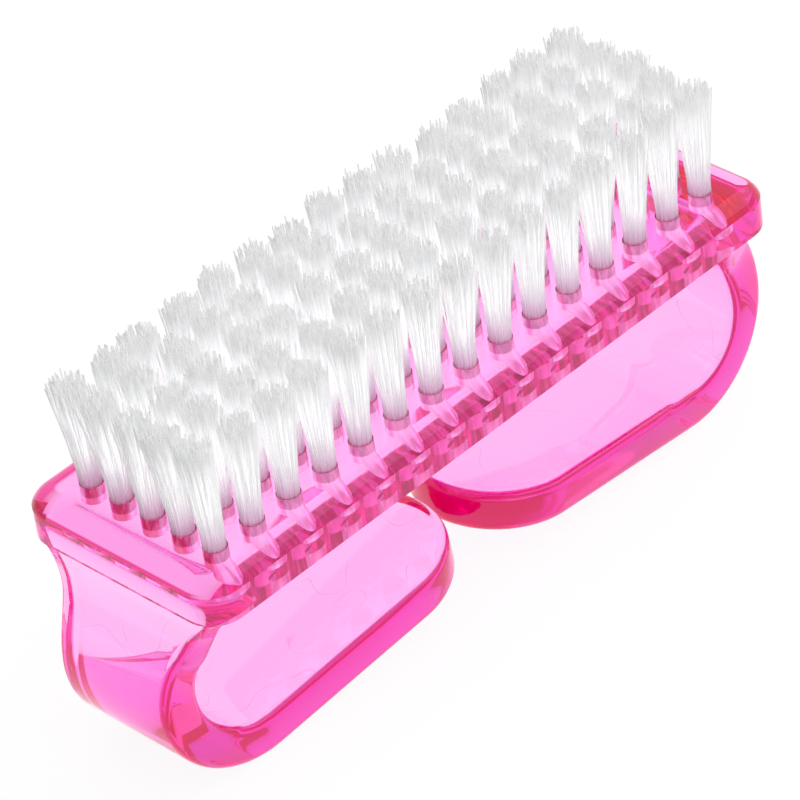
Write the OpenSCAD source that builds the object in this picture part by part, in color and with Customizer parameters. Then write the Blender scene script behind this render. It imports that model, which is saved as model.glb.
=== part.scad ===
// Nail brush: one clear moulding with a flat head plate and two open finger
// loops under it, and 75 anchored bristle tufts standing on the plate.
// Millimetres, +Z up. The brush stands on its two loops with the bristles up.
// The origin lies under the middle of the brush, on the surface it stands on.
// X runs along the head, Y across it.

/* [Head plate] */
// Length of the head plate
plate_l = 86.4; // [84:0.5:100]
// Width of the head plate
plate_w = 28.8; // [27:0.1:36]
// Thickness of the head plate
plate_t = 5.2; // [5:0.1:6]
// Radius of the plate's corners, seen from above
plate_corner_r = 3.8; // [3:0.1:6]
// Radius of the round along the plate's top edge
plate_edge_r = 2.7; // [1.8:0.1:3.4]
// How far the rim line, where that round ends, lies below the plate's top
rim_drop = 1.65; // [0.8:0.05:1.75]

/* [Finger loops] */
// Height of the plate's underside above the surface
loop_h = 24.6; // [22.5:0.1:26]
// Outer radius of the loop's bend
bend_r = 12.5; // [11:0.1:13]
// How far the loop's outer face stands in from the plate's end
neck_inset = 0.6; // [0.2:0.1:1.2]
// Lean of the wall where the neck passes into the bend, in degrees
neck_angle = 35; // [30:1:42]
// Rise of the tongue towards the middle, in degrees
tongue_rise = 7; // [3:0.5:9]
// Gap between the two tongues' round ends
tip_gap = 1.3; // [0.5:0.1:3]
// Length of the flat that each loop stands on
foot_l = 4; // [2:0.5:6]

/* [Strap section] */
// Thickness of the strap
strap_t = 4.8; // [3.6:0.1:5.4]
// Thickness of the strap where it meets the plate
neck_t = 3.4; // [2.4:0.1:4.2]
// Radius of the fillet between the strap's inner face and the plate's underside
root_fillet_r = 3; // [1.5:0.1:3.4]
// Width of the strap where it meets the plate
neck_w = 26.4; // [20:0.1:26.6]
// Width of the strap at the side of the bend
bend_w = 16.2; // [12:0.1:18]
// Width of the strap at the tongue's round end
tongue_w = 19.8; // [18:0.1:24]
// Length over which the strap narrows below the plate
flare_l = 12; // [8:0.5:14]
// Radius along the strap's edges
strap_edge_r = 1.1; // [0.5:0.1:1.6]

/* [Tufts] */
// Tufts along the head
columns = 15; // [9:1:15]
// Tufts across the head
rows = 5; // [3:1:5]
// From the plate's end to the middle of the end column
end_margin = 6.1; // [5.5:0.1:8]
// From the plate's side to the middle of the outer row
side_margin = 5.3; // [4.6:0.1:5.6]
// Bristle length above the plate
tuft_l = 13.6; // [9:0.1:20]
// Width over the tips of a tuft
tuft_top_d = 3.4; // [3.2:0.1:4.2]
// Sideways lean of the end columns' tips
splay_x = 0.5; // [0:0.1:2]
// Sideways lean of the outer rows' tips
splay_y = 0.2; // [0:0.1:1]
// Most that one strand is shorter than the next
ragged = 1.1; // [0:0.1:2]
// Width of a strand at its root
strand_root_d = 0.75; // [0.4:0.05:0.75]
// Width of a strand at its tip
strand_tip_d = 0.95; // [0.4:0.05:1]
// How far a strand is set into the packed root
strand_sink = 0.6; // [0.3:0.1:1]
// How far the outer strands stand in from the packed root's wall
strand_inset = 0.07; // [0.03:0.01:0.15]

/* [Bores and anchors] */
// Diameter of a bore in the plate
bore_d = 2.7; // [2.65:0.05:3.2]
// Depth of a bore
bore_depth = 4.5; // [3.4:0.1:4.6]
// Clearance of a packed root in its bore
root_clear = 0.08; // [0.03:0.01:0.15]
// Height of a packed root above the plate
root_rise = 0.4; // [0.2:0.1:1]
// Thickness of an anchor wire
anchor_t = 0.4; // [0.3:0.05:0.6]
// Height of an anchor wire
anchor_h = 1.5; // [1:0.1:2]
// Clearance round an anchor wire
anchor_clear = 0.06; // [0.03:0.01:0.1]

/* [Hidden] */
// Overrun of the cuts
over = 1;
// How far a strap runs up into the plate
strap_root = 0.6;
plate_z = loop_h + plate_t;
// Slope of the round at the rim line, in degrees
rim_angle = acos(1 - rim_drop / plate_edge_r);
pitch_x = (plate_l - 2 * end_margin) / (columns - 1);
pitch_y = (plate_w - 2 * side_margin) / (rows - 1);
foot_cut = bend_r - sqrt(bend_r * bend_r - foot_l * foot_l / 4);
neck_r = (loop_h + foot_cut - bend_r) / sin(neck_angle) - bend_r;
neck_u = plate_l / 2 - neck_inset;
bend_u = neck_u + neck_r * (1 - cos(neck_angle)) - bend_r * cos(neck_angle);
bend_z = bend_r - foot_cut;
end_angle = -90 - tongue_rise;
tongue_u = bend_u + bend_r * cos(end_angle);
tongue_z = bend_z + bend_r * sin(end_angle);
tongue_l = (tongue_u - tip_gap / 2) / cos(tongue_rise);
neck_len = neck_r * neck_angle * PI / 180;
bend_len = bend_r * (neck_angle - end_angle) * PI / 180;
path_l = neck_len + bend_len + tongue_l;
round_at = path_l - tongue_w / 2;
// The fillet ends within the neck
fillet_r = min(root_fillet_r, 0.9 * neck_len);
// Rings of the strap: fillet, neck, bend, straight tongue and round end
fillet_rings = 6;
neck_rings = 4;
bend_rings = 22;
straight_rings = 3;
round_rings = 10;
round_end_angle = 86;
corner_steps = 4;
// Steps round a corner of the plate and round its top edge
plate_corner_steps = 9;
edge_steps = 8;
// Strands in a tuft: one in the middle and the others in a ring
strands = 6;
ring_strands = strands - 1;
bore_fn = 48;
root_d = bore_d - 2 * root_clear;
root_z = plate_z - bore_depth + root_clear;
root_top = plate_z + root_rise;
anchor_l = bore_d - 2 * anchor_clear;
anchor_z = plate_z - bore_depth + anchor_clear;

// The strap's outer face at path length s from the plate: [outwards, up, lean],
// where lean is the direction that the face looks in, in degrees from level.
function path(s) =
  s < neck_len ? neck_point(s / neck_len * neck_angle)
  : s < neck_len + bend_len ? bend_point(neck_angle - (s - neck_len) / bend_r * 180 / PI)
  : tongue_point(s - neck_len - bend_len);
function neck_point(a) = [neck_u + neck_r * (1 - cos(a)), loop_h - neck_r * sin(a), a];
function bend_point(a) = [bend_u + bend_r * cos(a), bend_z + bend_r * sin(a), a];
function tongue_point(d) = [
  tongue_u - d * cos(tongue_rise), tongue_z + d * sin(tongue_rise), end_angle
];

// Half the strap's width and its thickness along the path
function flare(s) = pow(max(0, 1 - s / flare_l), 3);
function spread(s) = max(0, min(1, (s - flare_l) / (round_at - flare_l)));
function half_width(s) =
  bend_w / 2 + (neck_w - bend_w) / 2 * flare(s) + (tongue_w - bend_w) / 2 * spread(s);
function fillet(s) =
  s < fillet_r ? fillet_r - sqrt(fillet_r * fillet_r - (fillet_r - s) * (fillet_r - s)) : 0;
function thickness(s) = strap_t + (neck_t - strap_t) * max(0, 1 - s / neck_len) + fillet(s);

// A ring is [path length, half width, direction in plan of its side, in degrees]
function rings() = concat(
  [[-strap_root, neck_w / 2, 0]],
  [for (k = [0:fillet_rings - 1])
    let (s = fillet_r * (1 - cos(90 * k / fillet_rings))) [s, half_width(s), 0]],
  [for (k = [0:neck_rings - 1])
    let (s = fillet_r + k / neck_rings * (neck_len - fillet_r)) [s, half_width(s), 0]],
  [for (k = [0:bend_rings - 1])
    let (s = neck_len + k / bend_rings * bend_len) [s, half_width(s), 0]],
  [for (k = [0:straight_rings - 1])
    let (
      s0 = neck_len + bend_len,
      s = s0 + k / straight_rings * (round_at - s0)
    ) [s, half_width(s), 0]],
  [for (k = [0:round_rings])
    let (a = k / round_rings * round_end_angle)
    [round_at + tongue_w / 2 * sin(a), tongue_w / 2 * cos(a), a]]
);

// Round corners of the section: [depth below the face, inset from the side]
function corner(a) = [strap_edge_r * (1 - cos(a)), strap_edge_r * (1 - sin(a))];
function side(t) = concat(
  [for (k = [0:corner_steps]) corner(k / corner_steps * 90)],
  [for (k = [corner_steps:-1:0]) let (c = corner(k / corner_steps * 90)) [t - c[0], c[1]]]
);

// One point of a ring, held above the surface so that the loop has a flat to stand on
function ring_point(ring, c, way) =
  let (
    s = ring[0] - c[1] * sin(ring[2]),
    p = s < 0 ? [neck_u, loop_h - s, 0] : path(s),
    y = ring[1] - c[1] * cos(ring[2])
  ) [p[0] - c[0] * cos(p[2]), way * y, max(0, p[1] - c[0] * sin(p[2]))];
function ring_points(ring) =
  let (t = thickness(max(0, ring[0])), c = side(t), n = len(c)) concat(
    [for (k = [0:n - 1]) ring_point(ring, c[k], 1)],
    [for (k = [n - 1:-1:0]) ring_point(ring, c[k], -1)]
  );

module strap() {
  all_rings = [for (r = rings()) ring_points(r)];
  n = len(all_rings[0]);
  m = len(all_rings);
  walls = [
    for (i = [0:m - 2], k = [0:n - 1])
      let (a = i * n + k, b = i * n + (k + 1) % n)
      each [[a, b, b + n], [a, b + n, a + n]]
  ];
  root_cap = [for (k = [0:n / 2 - 2]) each [
    [k, n - 1 - k, k + 1], [k + 1, n - 1 - k, n - 2 - k]
  ]];
  end_cap = [for (f = root_cap) [for (v = [2:-1:0]) (m - 1) * n + f[v]]];
  polyhedron(
    points = [for (r = all_rings) each r],
    faces = concat(walls, root_cap, end_cap)
  );
}

// The plate's outline at one height: [height, inset from the full outline]
function plate_levels() = concat(
  [[0, 0]],
  [for (k = [0:edge_steps])
    let (a = rim_angle * (1 - k / edge_steps))
    [plate_t - plate_edge_r * (1 - cos(a)), plate_edge_r * (sin(rim_angle) - sin(a))]]
);
function plate_ring(level) = [
  for (q = [0:3], k = [0:plate_corner_steps])
    let (
      a = 90 * q + k / plate_corner_steps * 90,
      u = (plate_l / 2 - plate_corner_r) * (q == 0 || q == 3 ? 1 : -1),
      v = (plate_w / 2 - plate_corner_r) * (q < 2 ? 1 : -1),
      r = plate_corner_r - level[1]
    ) [u + r * cos(a), v + r * sin(a), level[0]]
];

module plate() {
  levels = plate_levels();
  n = 4 * (plate_corner_steps + 1);
  m = len(levels);
  polyhedron(
    points = [for (l = levels) each plate_ring(l)],
    faces = concat(
      [[for (k = [0:n - 1]) k]],
      [for (i = [0:m - 2], k = [0:n - 1])
        let (a = i * n + k, b = i * n + (k + 1) % n) [a, a + n, b + n, b]],
      [[for (k = [n - 1:-1:0]) (m - 1) * n + k]]
    )
  );
}

// The clear moulding: plate, both straps, and a blind bore under every tuft
module handle() {
  color([0.93, 0.3, 0.66, 0.6]) difference() {
    union() {
      translate([0, 0, loop_h]) plate();
      strap();
      mirror([1, 0, 0]) strap();
    }
    for (i = [0:columns - 1], j = [0:rows - 1])
      at_tuft(i, j) translate([0, 0, plate_z - bore_depth])
        cylinder(d = bore_d, h = bore_depth + over, $fn = bore_fn);
  }
}

// Places across the head run from -1 at one edge to 1 at the other
function place(k, count) = count > 1 ? 2 * k / (count - 1) - 1 : 0;

module at_tuft(i, j) {
  translate([
    place(i, columns) * (columns - 1) / 2 * pitch_x,
    place(j, rows) * (rows - 1) / 2 * pitch_y,
    0
  ]) children();
}

// A repeatable fraction from 0 to 1 for strand k of the tuft in column i, row j
function chance(i, j, k) = let (v = sin(i * 97 + j * 61 + k * 139 + 17) * 437) v - floor(v);

// Four corners of a strand's square end, turned by a
function square_end(c, d, a) = [
  for (q = [0:3]) [c[0] + d / 2 * cos(a + 90 * q), c[1] + d / 2 * sin(a + 90 * q), c[2]]
];

function strand_points(i, j, k) =
  let (
    ring = k == 0 ? 0 : 1,
    a = k * 360 / ring_strands + chance(i, j, 0) * 360 / ring_strands,
    root_r = ring * ((root_d - strand_root_d) / 2 - strand_inset),
    tip_r = ring * (tuft_top_d - strand_tip_d) / 2,
    tip_z = plate_z + tuft_l - ragged * (k == 1 ? 0 : chance(i, j, k)),
    root_c = [root_r * cos(a), root_r * sin(a), root_top - strand_sink],
    tip_c = [
      tip_r * cos(a) + splay_x * place(i, columns),
      tip_r * sin(a) + splay_y * place(j, rows),
      tip_z
    ]
  ) concat(square_end(root_c, strand_root_d, a), square_end(tip_c, strand_tip_d, a));

strand_faces = [
  [0, 1, 2], [0, 2, 3], [6, 5, 4], [7, 6, 4],
  [0, 4, 5], [0, 5, 1], [1, 5, 6], [1, 6, 2], [2, 6, 7], [2, 7, 3], [3, 7, 4], [3, 4, 0]
];

// One tuft: its packed root, slotted for the anchor wire, and its strands
module tuft(i, j) {
  difference() {
    translate([0, 0, root_z]) cylinder(d = root_d, h = root_top - root_z, $fn = bore_fn);
    translate([-bore_d / 2, -anchor_t / 2 - anchor_clear, root_z - over])
      cube([bore_d, anchor_t + 2 * anchor_clear, anchor_z + anchor_h + anchor_clear - root_z + over]);
  }
  polyhedron(
    points = [for (k = [0:strands - 1]) each strand_points(i, j, k)],
    faces = [for (k = [0:strands - 1], f = strand_faces) [for (v = f) v + 8 * k]]
  );
}

module tufts(i) {
  if (i < columns) color([0.96, 0.96, 0.97]) for (j = [0:rows - 1]) at_tuft(i, j) tuft(i, j);
}

// Flat wire anchors at the bottoms of one column's bores
module anchors(i) {
  if (i < columns) color([0.75, 0.73, 0.68]) for (j = [0:rows - 1]) at_tuft(i, j)
    translate([-anchor_l / 2, -anchor_t / 2, anchor_z]) cube([anchor_l, anchor_t, anchor_h]);
}

handle();
tufts(0);  // tufts_01
tufts(1);  // tufts_02
tufts(2);  // tufts_03
tufts(3);  // tufts_04
tufts(4);  // tufts_05
tufts(5);  // tufts_06
tufts(6);  // tufts_07
tufts(7);  // tufts_08
tufts(8);  // tufts_09
tufts(9);  // tufts_10
tufts(10);  // tufts_11
tufts(11);  // tufts_12
tufts(12);  // tufts_13
tufts(13);  // tufts_14
tufts(14);  // tufts_15
anchors(0);  // anchors_01
anchors(1);  // anchors_02
anchors(2);  // anchors_03
anchors(3);  // anchors_04
anchors(4);  // anchors_05
anchors(5);  // anchors_06
anchors(6);  // anchors_07
anchors(7);  // anchors_08
anchors(8);  // anchors_09
anchors(9);  // anchors_10
anchors(10);  // anchors_11
anchors(11);  // anchors_12
anchors(12);  // anchors_13
anchors(13);  // anchors_14
anchors(14);  // anchors_15
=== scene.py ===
import bpy
import bmesh
import math
import random
from mathutils import Matrix, Vector


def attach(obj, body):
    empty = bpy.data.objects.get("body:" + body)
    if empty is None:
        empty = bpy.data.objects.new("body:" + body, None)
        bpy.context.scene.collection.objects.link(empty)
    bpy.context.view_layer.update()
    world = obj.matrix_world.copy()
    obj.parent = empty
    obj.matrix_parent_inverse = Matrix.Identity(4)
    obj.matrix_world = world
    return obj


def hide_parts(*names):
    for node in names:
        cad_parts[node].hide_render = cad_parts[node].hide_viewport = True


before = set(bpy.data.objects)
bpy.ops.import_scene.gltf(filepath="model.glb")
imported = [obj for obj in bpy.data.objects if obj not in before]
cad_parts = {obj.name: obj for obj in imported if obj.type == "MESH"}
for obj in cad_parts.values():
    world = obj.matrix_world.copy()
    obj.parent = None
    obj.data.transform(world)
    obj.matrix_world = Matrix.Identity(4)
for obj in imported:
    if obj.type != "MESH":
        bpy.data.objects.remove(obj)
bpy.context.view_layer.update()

# Camera: a long lens from above and in front of the brush's left end, leaning a little,
# so that the head climbs from the near left corner to the far right one.
camera = bpy.data.objects.new("camera", bpy.data.cameras.new("camera"))
bpy.context.scene.collection.objects.link(camera)
bpy.context.scene.camera = camera
camera.data.sensor_width = 36.0
camera.data.lens = 239.79
camera.data.clip_start = 0.05
camera.data.clip_end = 20.0
camera_place = Vector((-0.299218, -0.340634, 0.360586))
camera_right = Vector((0.686855, -0.717123, -0.118177))
camera_up = Vector((0.501110, 0.349497, 0.791669))
camera_back = Vector((-0.526421, -0.602982, 0.599411))
camera_turn = Matrix((camera_right, camera_up, camera_back)).transposed()
camera.matrix_world = Matrix.Translation(camera_place) @ camera_turn.to_4x4()

# The clear pink moulding: one injection-moulded piece, a flat head plate with 75 blind
# bores and two straps that turn under it as finger loops. The plate is a bevelled block,
# each strap a bevelled bar bent along its path, and the three are joined and then bored.
PLATE_L, PLATE_W, PLATE_T = 0.0864, 0.0288, 0.0052
PLATE_CORNER_R, PLATE_EDGE_R, RIM_DROP = 0.0038, 0.0027, 0.00165
LOOP_H = 0.0246
BEND_R, NECK_INSET, NECK_ANGLE, TONGUE_RISE = 0.0125, 0.0006, math.radians(35), math.radians(7)
TIP_GAP, FOOT_L = 0.0013, 0.004
STRAP_T, NECK_T, NECK_W, BEND_W, TONGUE_W = 0.0048, 0.0034, 0.0264, 0.0162, 0.0198
FLARE_L, STRAP_EDGE_R, STRAP_ROOT, ROOT_FILLET_R = 0.012, 0.0011, 0.0006, 0.003
COLUMNS, ROWS, PITCH_X, PITCH_Y = 15, 5, 0.0053, 0.00455
BORE_D, BORE_DEPTH, MOUTH_DEPTH = 0.0027, 0.0045, 0.0027
PLATE_Z = LOOP_H + PLATE_T

FOOT_CUT = BEND_R - math.sqrt(BEND_R ** 2 - FOOT_L ** 2 / 4)
NECK_R = (LOOP_H + FOOT_CUT - BEND_R) / math.sin(NECK_ANGLE) - BEND_R
NECK_U = PLATE_L / 2 - NECK_INSET
BEND_U = NECK_U + NECK_R * (1 - math.cos(NECK_ANGLE)) - BEND_R * math.cos(NECK_ANGLE)
BEND_Z = BEND_R - FOOT_CUT
END_ANGLE = -math.pi / 2 - TONGUE_RISE
TONGUE_U = BEND_U + BEND_R * math.cos(END_ANGLE)
TONGUE_Z = BEND_Z + BEND_R * math.sin(END_ANGLE)
TONGUE_LEN = (TONGUE_U - TIP_GAP / 2) / math.cos(TONGUE_RISE)
NECK_LEN = NECK_R * NECK_ANGLE
BEND_LEN = BEND_R * (NECK_ANGLE - END_ANGLE)
PATH_L = NECK_LEN + BEND_LEN + TONGUE_LEN
ROUND_AT = PATH_L - TONGUE_W / 2

# The steps of each round, the cuts along the strap, a tip round a hair under half the
# width, and how near two points, or a point and a plane, count as together.
PLATE_CORNER_STEPS, PLATE_EDGE_STEPS, TIP_STEPS, STRAP_EDGE_STEPS = 16, 14, 32, 6
STRAP_CUTS, FILLET_CUT_ANGLE, BORE_SIDES = 110, 6, 28
TIP_R = TONGUE_W / 2 * 0.999
NEAR, ON_PLANE = 1e-6, 1e-7


def strap_path(s):
    """Outwards, up and lean of the strap's outer face at path length s from the plate."""
    if s < 0:
        return NECK_U, LOOP_H - s, 0.0
    if s < NECK_LEN:
        a = s / NECK_R
        return NECK_U + NECK_R * (1 - math.cos(a)), LOOP_H - NECK_R * math.sin(a), a
    if s < NECK_LEN + BEND_LEN:
        a = NECK_ANGLE - (s - NECK_LEN) / BEND_R
        return BEND_U + BEND_R * math.cos(a), BEND_Z + BEND_R * math.sin(a), a
    d = s - NECK_LEN - BEND_LEN
    return TONGUE_U - d * math.cos(TONGUE_RISE), TONGUE_Z + d * math.sin(TONGUE_RISE), END_ANGLE


def strap_half_width(s):
    """Flared at the plate, narrow in the bend and wide again at the tongue's round end."""
    flare = max(0.0, 1 - max(0.0, s) / FLARE_L) ** 3
    spread = min(1.0, max(0.0, (s - FLARE_L) / (ROUND_AT - FLARE_L)))
    return BEND_W / 2 + (NECK_W - BEND_W) / 2 * flare + (TONGUE_W - BEND_W) / 2 * spread


def strap_thickness(s):
    """Thinner at the neck, with a fillet against the plate's underside."""
    s = max(0.0, s)
    fillet = 0.0
    if s < ROOT_FILLET_R:
        fillet = ROOT_FILLET_R - math.sqrt(ROOT_FILLET_R ** 2 - (ROOT_FILLET_R - s) ** 2)
    return STRAP_T + (NECK_T - STRAP_T) * max(0.0, 1 - s / NECK_LEN) + fillet


def new_piece(name, bm):
    """Turns a bmesh into an object at the origin."""
    mesh = bpy.data.meshes.new(name)
    bm.to_mesh(mesh)
    bm.free()
    piece = bpy.data.objects.new(name, mesh)
    bpy.context.scene.collection.objects.link(piece)
    return piece


def block(length, width, thickness, middle):
    """A bmesh with one block in it."""
    bm = bmesh.new()
    bmesh.ops.create_cube(bm, size=1.0)
    bmesh.ops.scale(bm, verts=bm.verts, vec=(length, width, thickness))
    bmesh.ops.translate(bm, verts=bm.verts, vec=middle)
    return bm


def rise(edge):
    """How far an edge climbs from one end to the other."""
    return abs(edge.verts[0].co.z - edge.verts[1].co.z)


def round_edges(bm, edges, radius, steps):
    """Gives these edges a round of this radius, in so many steps."""
    bmesh.ops.bevel(
        bm, geom=edges, offset=radius, segments=steps, profile=0.5, affect="EDGES", material=-1
    )


def cut_across(bm, place, way):
    """Adds a ring of edges where the plane through place, square to way, meets bm."""
    bmesh.ops.bisect_plane(
        bm, geom=bm.verts[:] + bm.edges[:] + bm.faces[:], dist=ON_PLANE,
        plane_co=place, plane_no=way,
    )


def smooth(piece, sharp_from=None):
    """Shades a piece smooth, but for edges past the angle sharp_from, if it is given."""
    for polygon in piece.data.polygons:
        polygon.use_smooth = True
    if sharp_from is not None:
        piece.data.set_sharp_from_angle(angle=sharp_from)


bm = block(PLATE_L, PLATE_W, PLATE_T, (0, 0, LOOP_H + PLATE_T / 2))
round_edges(bm, [e for e in bm.edges if rise(e) > PLATE_T / 2], PLATE_CORNER_R, PLATE_CORNER_STEPS)
top_edges = [e for e in bm.edges if min(v.co.z for v in e.verts) > PLATE_Z - NEAR]
round_edges(bm, top_edges, PLATE_EDGE_R, PLATE_EDGE_STEPS)

# The rim's quarter round becomes the first part of a round of the same radius, which
# stops RIM_DROP below the top and meets the side in a corner.
RIM_ANGLE = math.acos(1 - RIM_DROP / PLATE_EDGE_R)
for v in bm.verts:
    drop = PLATE_Z - v.co.z
    if drop > PLATE_EDGE_R + NEAR:
        continue
    turn = math.acos(max(-1.0, min(1.0, 1 - drop / PLATE_EDGE_R))) * RIM_ANGLE / (math.pi / 2)
    core = Vector((
        max(PLATE_CORNER_R - PLATE_L / 2, min(PLATE_L / 2 - PLATE_CORNER_R, v.co.x)),
        max(PLATE_CORNER_R - PLATE_W / 2, min(PLATE_W / 2 - PLATE_CORNER_R, v.co.y)),
    ))
    reach = PLATE_CORNER_R - PLATE_EDGE_R * (math.sin(RIM_ANGLE) - math.sin(turn))
    out = (v.co.xy - core).normalized() * reach
    v.co = (core.x + out.x, core.y + out.y, PLATE_Z - PLATE_EDGE_R * (1 - math.cos(turn)))
moulding = new_piece("moulding", bm)


def bent_strap(way):
    """A bar with rounded edges and a round end, bent along the path on the side way."""
    bm = block(
        PATH_L + STRAP_ROOT, TONGUE_W, STRAP_T,
        ((PATH_L + STRAP_ROOT) / 2 - STRAP_ROOT, 0, STRAP_T / 2),
    )
    tip_edges = [e for e in bm.edges if rise(e) > STRAP_T / 2 and e.verts[0].co.x > PATH_L / 2]
    round_edges(bm, tip_edges, TIP_R, TIP_STEPS)
    long_edges = [e for e in bm.edges if rise(e) < NEAR and max(v.co.x for v in e.verts) > 0]
    round_edges(bm, long_edges, STRAP_EDGE_R, STRAP_EDGE_STEPS)
    cuts = [
        ROOT_FILLET_R * (1 - math.cos(math.radians(a))) for a in range(0, 90, FILLET_CUT_ANGLE)
    ]
    last_cut = ROUND_AT + TONGUE_W / 4
    cuts += [
        ROOT_FILLET_R + (last_cut - ROOT_FILLET_R) * k / STRAP_CUTS for k in range(STRAP_CUTS)
    ]
    for at in cuts:
        cut_across(bm, (at, 0, 0), (1, 0, 0))
    for v in bm.verts:
        s, y, depth = v.co
        if depth > STRAP_T / 2:
            depth += strap_thickness(s) - STRAP_T
        if abs(y) > NEAR:
            y += (strap_half_width(s) - TONGUE_W / 2) * math.copysign(1, y)
        u, z, lean = strap_path(s)
        v.co = (way * (u - depth * math.cos(lean)), y, max(0.0, z - depth * math.sin(lean)))
    bmesh.ops.remove_doubles(bm, verts=bm.verts, dist=NEAR)
    bmesh.ops.recalc_face_normals(bm, faces=bm.faces)
    return new_piece("strap", bm)


def tuft_places():
    """Column, row and middle of each bore's mouth."""
    for i in range(COLUMNS):
        for j in range(ROWS):
            yield i, j, Vector((
                (i - (COLUMNS - 1) / 2) * PITCH_X, (j - (ROWS - 1) / 2) * PITCH_Y, PLATE_Z
            ))


bm = bmesh.new()
for i, j, mouth in tuft_places():
    bmesh.ops.create_cone(
        bm, segments=BORE_SIDES, radius1=BORE_D / 2, radius2=BORE_D / 2, depth=2 * BORE_DEPTH,
        cap_ends=True, matrix=Matrix.Translation(mouth),
    )
cut_across(bm, (0, 0, PLATE_Z - MOUTH_DEPTH), (0, 0, 1))
bores = new_piece("bores", bm)


def join(piece, other, operation):
    """Joins or cuts piece with other for good, and removes other."""
    step = piece.modifiers.new("step", "BOOLEAN")
    step.object = other
    step.operation = operation
    step.solver = "EXACT"
    bpy.context.view_layer.update()
    evaluated = piece.evaluated_get(bpy.context.evaluated_depsgraph_get())
    mesh = bpy.data.meshes.new_from_object(evaluated)
    piece.modifiers.clear()
    old = piece.data
    piece.data = mesh
    bpy.data.meshes.remove(old)
    bpy.data.objects.remove(other)


for way in (-1, 1):
    join(moulding, bent_strap(way), "UNION")
join(moulding, bores, "DIFFERENCE")
moulding.data.name = "moulding"
SHARP_FROM = math.radians(16)
smooth(moulding, SHARP_FROM)


def new_material(name):
    """A material of this name, its node tree and its main shader."""
    material = bpy.data.materials.new(name)
    material.use_nodes = True
    return material, material.node_tree, material.node_tree.nodes["Principled BSDF"]


def plug(tree, node, settings):
    """Sets a node's inputs, each to a plain value or to the output of another node."""
    for name, value in settings.items():
        socket = node.inputs[name]
        if isinstance(value, bpy.types.NodeSocket):
            tree.links.new(value, socket)
        elif socket.type == "RGBA":
            socket.default_value = (*value, 1)
        else:
            socket.default_value = value


def maths(tree, operation, first, second=0.0):
    """What a Math node makes of one or two values."""
    node = tree.nodes.new("ShaderNodeMath")
    node.operation = operation
    plug(tree, node, {0: first, 1: second})
    return node.outputs["Value"]


def vector_maths(tree, operation, first, second=(0, 0, 0)):
    """What a Vector Math node makes of one or two vectors."""
    node = tree.nodes.new("ShaderNodeVectorMath")
    node.operation = operation
    plug(tree, node, {0: first, 1: second})
    return node.outputs["Value" if operation in ("LENGTH", "DOT_PRODUCT") else "Vector"]


def eased(tree, value, low, high, start=0.0, end=1.0):
    """start where value is at low, end where it is at high, and evenly between them."""
    node = tree.nodes.new("ShaderNodeMapRange")
    plug(tree, node, {
        "Value": value, "From Min": low, "From Max": high, "To Min": start, "To Max": end,
    })
    return node.outputs["Result"]


def blended(tree, share, first, second, blend="MIX", kind="RGBA"):
    """first where share is 0, second where it is 1."""
    node = tree.nodes.new("ShaderNodeMix")
    node.data_type = kind
    node.blend_type = blend
    plug(tree, node, {"Factor": share, "A": first, "B": second})
    return node.outputs["Result"]


def noise(tree, place, scale, detail=2.0):
    """A noise between 0 and 1, mostly near its middle."""
    node = tree.nodes.new("ShaderNodeTexNoise")
    plug(tree, node, {"Vector": place, "Scale": scale, "Detail": detail})
    return node.outputs["Fac"]


BLACK, WHITE = (0, 0, 0), (1, 1, 1)
PLASTIC_IOR = 1.52

clear_pink, tree, shader = new_material("clear_pink_plastic")
light = tree.nodes.new("ShaderNodeLightPath").outputs
side = tree.nodes.new("ShaderNodeNewGeometry").outputs
place = tree.nodes.new("ShaderNodeTexCoord").outputs["Object"]

# The dye passes less blue the longer light stays inside: here by how often it has been
# reflected, and by the length of its last stretch inside, in metres.
ALL_REFLECTED, LONG_WAY = 3.0, (0.006, 0.017)
reflected = eased(tree, light["Glossy Depth"], 0.0, ALL_REFLECTED)
warmed = blended(tree, reflected, WHITE, (0.92, 0.8, 0.55))
far_inside = maths(
    tree, "MULTIPLY", eased(tree, light["Ray Length"], *LONG_WAY), side["Backfacing"]
)
deepened = blended(tree, far_inside, warmed, (1, 0.85, 0.32), "MULTIPLY")

# Fine flow lines from moulding, where a slow noise crosses its middle, in some patches.
FLOW_SCALE, FLOW_DETAIL, PATCH_SCALE, LINE_HALF_WIDTH = 90.0, 1.0, 160.0, 0.004
flow = noise(tree, place, FLOW_SCALE, FLOW_DETAIL)
patches = noise(tree, place, PATCH_SCALE)
off_line = maths(tree, "ABSOLUTE", maths(tree, "SUBTRACT", flow, 0.5))
hairline = maths(
    tree, "MULTIPLY", eased(tree, off_line, LINE_HALF_WIDTH, 0.0),
    eased(tree, patches, 0.48, 0.58, 0.0, 0.55),
)
lined = blended(tree, hairline, deepened, (0.8, 0.3, 0.55))

# Painted shade: the hot pink that light takes through the thick rim, painted on as a band
# over the whole edge at the back, and elsewhere in a line where the round meets the side,
# but not along the front. Each pair says where the band starts to show and where it is full.
BACK_REACH, BACK_Y = (0.0008, 0.0012), (PLATE_W / 2 - 0.0048, PLATE_W / 2 - 0.003)
LINE_TOP, LINE_FOOT = (PLATE_Z - 0.0012, PLATE_Z - 0.00135), (PLATE_Z - 0.0021, PLATE_Z - 0.002)
OFF_FRONT_Y = (0.0016 - PLATE_W / 2, 0.0032 - PLATE_W / 2)
split = tree.nodes.new("ShaderNodeSeparateXYZ")
plug(tree, split, {"Vector": place})
across, height = split.outputs["Y"], split.outputs["Z"]
core_corner = (PLATE_L / 2 - PLATE_CORNER_R, PLATE_W / 2 - PLATE_CORNER_R, 1)
from_core = vector_maths(tree, "SUBTRACT", vector_maths(tree, "ABSOLUTE", place), core_corner)
reach = vector_maths(tree, "LENGTH", vector_maths(tree, "MAXIMUM", from_core))
back_edge = maths(tree, "MULTIPLY", eased(tree, reach, *BACK_REACH), eased(tree, across, *BACK_Y))
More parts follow.
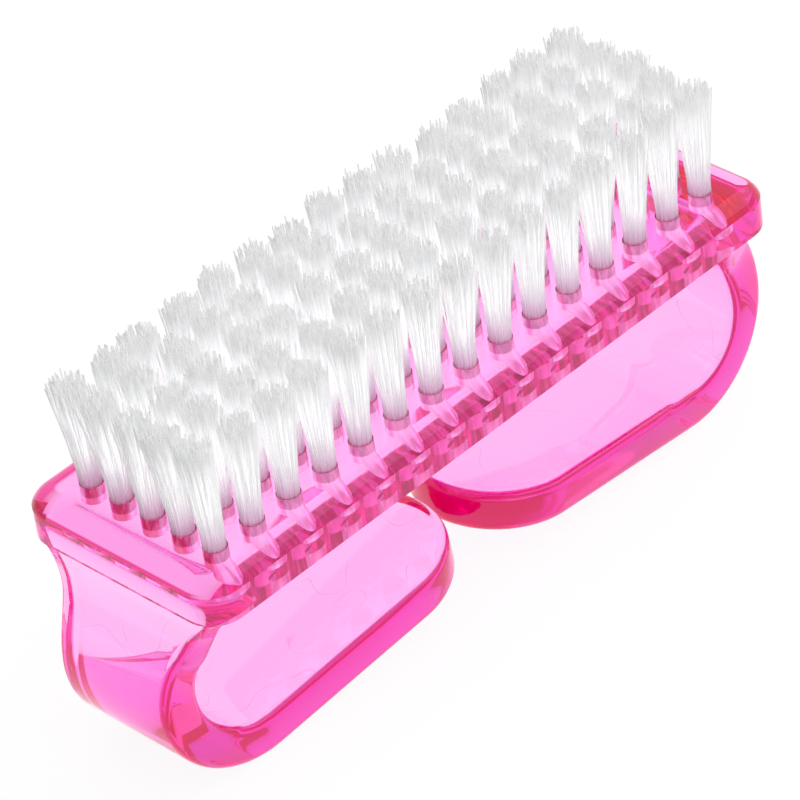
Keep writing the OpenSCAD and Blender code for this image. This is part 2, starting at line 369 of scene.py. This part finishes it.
painted_rim_shade = maths(
    tree, "MULTIPLY", maths(tree, "MAXIMUM", back_edge, eased(tree, height, *LINE_TOP)),
    maths(
        tree, "MULTIPLY", eased(tree, height, *LINE_FOOT), eased(tree, across, *OFF_FRONT_Y)
    ),
)
rim_shaded_colour = blended(tree, painted_rim_shade, lined, (0.75, 0.02, 0.16))

# Past this many reflections or surfaces, the plastic glows an even deep pink: painted light for
# what such long paths would bring.
LAST_REFLECTION, LAST_BOUNCE = 3.5, 11.5
deep_glow_rays = maths(
    tree, "MAXIMUM", maths(tree, "GREATER_THAN", light["Glossy Depth"], LAST_REFLECTION),
    maths(tree, "GREATER_THAN", light["Ray Depth"], LAST_BOUNCE),
)
wavy = tree.nodes.new("ShaderNodeBump")
plug(tree, wavy, {"Strength": 0.12, "Distance": 0.0006, "Height": flow})
plug(tree, shader, {
    "Base Color": rim_shaded_colour,
    "Roughness": eased(tree, patches, 0.35, 0.75, 0.01, 0.07),
    "IOR": PLASTIC_IOR,
    "Transmission Weight": 1.0,
    "Normal": wavy.outputs["Normal"],
    "Emission Color": blended(tree, deep_glow_rays, BLACK, (0.38, 0.03, 0.15)),
    "Emission Strength": 1.0,
})
dye = tree.nodes.new("ShaderNodeVolumeAbsorption")
plug(tree, dye, {"Color": (0.985, 0.0, 0.83), "Density": 140.0})
tree.links.new(dye.outputs["Volume"], tree.nodes["Material Output"].inputs["Volume"])

# The streaks that the bore walls, the wire and the nylon share: a noise that can be
# drawn out along Z, turned into shades between a dark colour and a light one.
streaks = bpy.data.node_groups.new("streaks", "ShaderNodeTree")
for label, kind in (
    ("Place", "Vector"), ("Stretch", "Vector"), ("Scale", "Float"), ("Low", "Float"),
    ("High", "Float"), ("Dark", "Color"), ("Light", "Color"),
):
    streaks.interface.new_socket(name=label, in_out="INPUT", socket_type="NodeSocket" + kind)
streaks.interface.new_socket(name="Colour", in_out="OUTPUT", socket_type="NodeSocketColor")
given = streaks.nodes.new("NodeGroupInput").outputs
drawn_out = streaks.nodes.new("ShaderNodeMapping")
plug(streaks, drawn_out, {"Vector": given["Place"], "Scale": given["Stretch"]})
grain = noise(streaks, drawn_out.outputs["Vector"], given["Scale"])
spread = eased(streaks, grain, given["Low"], given["High"])
plug(streaks, streaks.nodes.new("NodeGroupOutput"), {
    "Colour": blended(streaks, spread, given["Dark"], given["Light"]),
})


def streaked(tree, scale, stretch, low, high, dark, light):
    """The colour of the streaks on a material's object coordinates."""
    group = tree.nodes.new("ShaderNodeGroup")
    group.node_tree = streaks
    plug(tree, group, {
        "Place": tree.nodes.new("ShaderNodeTexCoord").outputs["Object"],
        "Stretch": (1, 1, stretch), "Scale": scale, "Low": low, "High": high,
        "Dark": dark, "Light": light,
    })
    return group.outputs["Colour"]


def painted_bore_plastic(name, clearness, dark, light):
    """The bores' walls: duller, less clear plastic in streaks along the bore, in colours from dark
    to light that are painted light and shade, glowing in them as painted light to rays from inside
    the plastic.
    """
    material, tree, shader = new_material(name)
    painted_bore_light_and_shade = streaked(tree, 1600.0, 0.12, 0.42, 0.6, dark, light)
    path = tree.nodes.new("ShaderNodeLightPath").outputs
    from_inside = maths(tree, "GREATER_THAN", path["Transmission Depth"], 0.5)
    plug(tree, shader, {
        "Base Color": painted_bore_light_and_shade,
        "Roughness": 0.15,
        "IOR": PLASTIC_IOR,
        "Transmission Weight": clearness,
        # Painted light: a faint glow in the streaks' colours for rays from inside the plastic.
        "Emission Color": blended(tree, from_inside, BLACK, painted_bore_light_and_shade),
        "Emission Strength": 0.22,
    })
    return material


moulding.data.materials.clear()
for material in (
    clear_pink,
    # Pale colours painted as light on the bore walls, dark ones painted as shade in the mouths.
    painted_bore_plastic("bore_wall_painted_light", 0.7, (0.85, 0.5, 0.72), (0.98, 0.9, 1.0)),
    painted_bore_plastic("bore_mouth_painted_shade", 0.4, (0.36, 0.03, 0.12), (0.75, 0.26, 0.44)),
):
    moulding.data.materials.append(material)
# A face counts as a bore's wall if it stands upright, within the plate's thickness, and
# no further than WALL_REACH from a bore's axis.
CLEAR_SLOT, WALL_SLOT, MOUTH_SLOT = 0, 1, 2
UPRIGHT, WALL_REACH = 0.5, BORE_D * 0.52
axes = [mouth.xy for i, j, mouth in tuft_places()]
for polygon in moulding.data.polygons:
    polygon.material_index = CLEAR_SLOT
    if abs(polygon.normal.z) > UPRIGHT or polygon.center.z < LOOP_H:
        continue
    if min((axis - polygon.center.xy).length for axis in axes) < WALL_REACH:
        in_mouth = polygon.center.z > PLATE_Z - MOUTH_DEPTH
        polygon.material_index = MOUTH_SLOT if in_mouth else WALL_SLOT
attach(moulding, "root")
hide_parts("handle")

# The wire anchors: flat bits of plain wire that hold each tuft's folded middle down in
# its bore. They keep their solids and get the dull bright finish of drawn wire.
wire, tree, shader = new_material("anchor_wire")
plug(tree, shader, {
    "Base Color": streaked(
        tree, 3000.0, 1.0, 0.0, 1.0, (0.34, 0.32, 0.3), (0.62, 0.6, 0.56)
    ),
    "Metallic": 1.0,
    "Roughness": 0.35,
})
for k in range(COLUMNS):
    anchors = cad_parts["anchors_%02d" % (k + 1)]
    anchors.data.materials.clear()
    anchors.data.materials.append(wire)

# The tufts: 150 white nylon filaments each, packed in the bore, spreading towards the
# top, trimmed unevenly and each tuft standing its own way, a little out of line.
TUFT_L, SPLAY_X, SPLAY_Y, TOP_D = 0.0136, 0.0005, 0.0002, 0.0041
FILAMENTS, FILAMENT_D = 150, 0.00021
GOLDEN = math.pi * (3 - math.sqrt(5))
RAGGED, RAGGED_POWER, SPREAD_POWER = 0.0014, 1.5, 1.15
STRAY, LEAN, SINK = 0.00026, 0.00028, 0.0003
WALL_GAP, BOTTOM_GAP = 0.0001, 0.0003

filament_mesh = bpy.data.meshes.new("filament")
bm = bmesh.new()
bmesh.ops.create_cone(bm, segments=4, radius1=0.5, radius2=0.5, depth=1.0, cap_ends=True)
bmesh.ops.translate(bm, verts=bm.verts, vec=(0, 0, 0.5))
for share in (0.35, 0.7):
    cut_across(bm, (0, 0, share), (0, 0, 1))
bm.to_mesh(filament_mesh)
bm.free()


def by_height(tree, steps):
    """A colour ramp along Z in object coordinates: (height from the plate's top, colour)."""
    low, high = steps[0][0], steps[-1][0]
    split = tree.nodes.new("ShaderNodeSeparateXYZ")
    plug(tree, split, {"Vector": tree.nodes.new("ShaderNodeTexCoord").outputs["Object"]})
    ramp = tree.nodes.new("ShaderNodeValToRGB")
    for k, (at, colour) in enumerate(steps):
        share = (at - low) / (high - low)
        if 0 < k < len(steps) - 1:
            ramp.color_ramp.elements.new(share)
        ramp.color_ramp.elements[k].position = share
        ramp.color_ramp.elements[k].color = (*colour, 1)
    plug(tree, ramp, {"Fac": eased(tree, split.outputs["Z"], PLATE_Z + low, PLATE_Z + high)})
    return ramp.outputs["Color"]


# The nylon's foot is painted pink, darker deep in the bore: painted light from the pink
# plastic and painted shade in the bore. Light that has gone from filament to filament, or
# through the plastic, is painted on as a glow, the tuft's own even light.
nylon, tree, shader = new_material("white_nylon")
drawn = streaked(tree, 2500.0, 0.08, 0.3, 0.7, (0.86, 0.86, 0.87), (0.96, 0.96, 0.96))
painted_foot_light_and_shade = by_height(tree, (
    (-BORE_DEPTH, (0.5, 0.05, 0.2)), (0.0, (0.9, 0.55, 0.72)), (0.0002, (0.9, 0.74, 0.85)),
    (0.0022, (0.95, 0.9, 0.94)), (0.0045, WHITE),
))
nylon_with_painted_foot = blended(tree, 1.0, drawn, painted_foot_light_and_shade, "MULTIPLY")
light = tree.nodes.new("ShaderNodeLightPath").outputs
painted_glow_rays = maths(
    tree, "MAXIMUM", maths(tree, "GREATER_THAN", light["Diffuse Depth"], 2.5),
    maths(tree, "GREATER_THAN", light["Transmission Depth"], 0.5),
)
plug(tree, shader, {
    "Base Color": nylon_with_painted_foot,
    "Roughness": 0.45,
    "Subsurface Weight": 0.6,
    "Subsurface Radius": (1, 1, 1),
    "Subsurface Scale": 0.0006,
    "Emission Color": blended(tree, painted_glow_rays, BLACK, nylon_with_painted_foot),
    "Emission Strength": 0.85,
})

chance = random.Random(7)
for i in range(COLUMNS):
    bm = bmesh.new()
    for column, j, mouth in tuft_places():
        if column != i:
            continue
        lean = Vector((
            SPLAY_X * (2 * i / (COLUMNS - 1) - 1) + chance.gauss(0, LEAN),
            SPLAY_Y * (2 * j / (ROWS - 1) - 1) + chance.gauss(0, LEAN),
            -abs(chance.gauss(0, SINK)),
        ))
        turn = chance.uniform(0, 2 * math.pi)
        for k in range(FILAMENTS):
            share = math.sqrt((k + 0.5) / FILAMENTS)
            a = turn + k * GOLDEN
            out = Vector((math.cos(a), math.sin(a), 0))
            neck = mouth + out * share * (BORE_D / 2 - WALL_GAP - FILAMENT_D / 2)
            root_z = neck.z - (BORE_DEPTH - BOTTOM_GAP)
            stray = Vector((chance.gauss(0, 1), chance.gauss(0, 1), 0)) * STRAY
            length = TUFT_L - RAGGED * chance.random() ** RAGGED_POWER
            tip = mouth + out * share * (TOP_D / 2 - FILAMENT_D / 2)
            top = tip + lean + stray + Vector((0, 0, length))
            first = len(bm.verts)
            bm.from_mesh(filament_mesh)
            bm.verts.ensure_lookup_table()
            for v in bm.verts[first:]:
                z = root_z + (top.z - root_z) * v.co.z
                bend = max(0.0, (z - neck.z) / (top.z - neck.z))
                centre = neck.xy + (top.xy - neck.xy) * bend ** SPREAD_POWER
                v.co = (
                    centre.x + v.co.x * FILAMENT_D, centre.y + v.co.y * FILAMENT_D, z
                )
    column_piece = new_piece("tufts_%02d_filaments" % (i + 1), bm)
    smooth(column_piece)
    column_piece.data.materials.append(nylon)
    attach(column_piece, "root")
    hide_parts("tufts_%02d" % (i + 1))
bpy.data.meshes.remove(filament_mesh)

# The studio: a wide white floor just under the brush, pale surroundings, and two soft
# lamps, the stronger one at the upper right and the other in front.
FLOOR_HALF_SIZE, FLOOR_GAP = 6.0, 0.0003
WHITE_SHARE, WHITE_GLOW = 0.85, 1.06
bm = bmesh.new()
bmesh.ops.create_grid(bm, x_segments=1, y_segments=1, size=FLOOR_HALF_SIZE)
bmesh.ops.translate(bm, verts=bm.verts, vec=(0, 0, -FLOOR_GAP))
floor = new_piece("floor", bm)


def seen_rays(tree, camera_share=1.0):
    """1 for glossy and transmission rays, camera_share for camera rays, 0 for the rest."""
    light = tree.nodes.new("ShaderNodeLightPath").outputs
    camera_rays = maths(tree, "MULTIPLY", light["Is Camera Ray"], camera_share)
    glossy_too = maths(tree, "MAXIMUM", camera_rays, light["Is Glossy Ray"])
    return maths(tree, "MAXIMUM", glossy_too, light["Is Transmission Ray"])


# Seen rays show the floor mostly as plain white, which still keeps the brush's shadow.
white_floor, tree, shader = new_material("white_floor")
plug(tree, shader, {"Base Color": (0.85, 0.85, 0.85), "Roughness": 1.0, "Specular IOR Level": 0.0})
glow = tree.nodes.new("ShaderNodeEmission")
plug(tree, glow, {"Color": WHITE, "Strength": WHITE_GLOW})
white = tree.nodes.new("ShaderNodeMixShader")
plug(tree, white, {
    "Fac": seen_rays(tree, WHITE_SHARE), 1: shader.outputs["BSDF"], 2: glow.outputs["Emission"],
})
tree.links.new(white.outputs["Shader"], tree.nodes["Material Output"].inputs["Surface"])
floor.data.materials.append(white_floor)

# The surroundings grow brighter towards the stronger lamp's side. Rays that show them,
# and don't only light the brush by them, find their dim side less dim.
BRIGHT_SIDE, DIM_END, BRIGHT_END = (0.62, -0.3, 0.72), -0.8, 1.0
world = bpy.data.worlds.new("surroundings")
bpy.context.scene.world = world
world.use_nodes = True
tree = world.node_tree
direction = tree.nodes.new("ShaderNodeTexCoord").outputs["Generated"]
towards = vector_maths(tree, "DOT_PRODUCT", direction, BRIGHT_SIDE)
lighting = eased(tree, towards, DIM_END, BRIGHT_END, 0.18, 1.0)
showing = eased(tree, towards, DIM_END, BRIGHT_END, 0.55, 1.0)
plug(tree, tree.nodes["Background"], {
    "Color": WHITE,
    "Strength": blended(tree, seen_rays(tree), lighting, showing, kind="FLOAT"),
})


def lamp(name, size, power, place, aim):
    """A square soft lamp at place, turned to shine at aim."""
    data = bpy.data.lights.new(name, "AREA")
    data.size = size
    data.energy = power
    lamp_object = bpy.data.objects.new(name, data)
    bpy.context.scene.collection.objects.link(lamp_object)
    lamp_object.location = place
    lamp_object.rotation_mode = "QUATERNION"
    lamp_object.rotation_quaternion = (Vector(aim) - Vector(place)).to_track_quat("-Z", "Y")


lamp("key", 0.9, 1.9, (0.45, -0.15, 0.7), (0, 0, 0.02))
lamp("front", 0.6, 0.7, (-0.25, -0.8, 0.35), (0, 0, 0.02))

bpy.context.scene.view_settings.view_transform = "Standard"
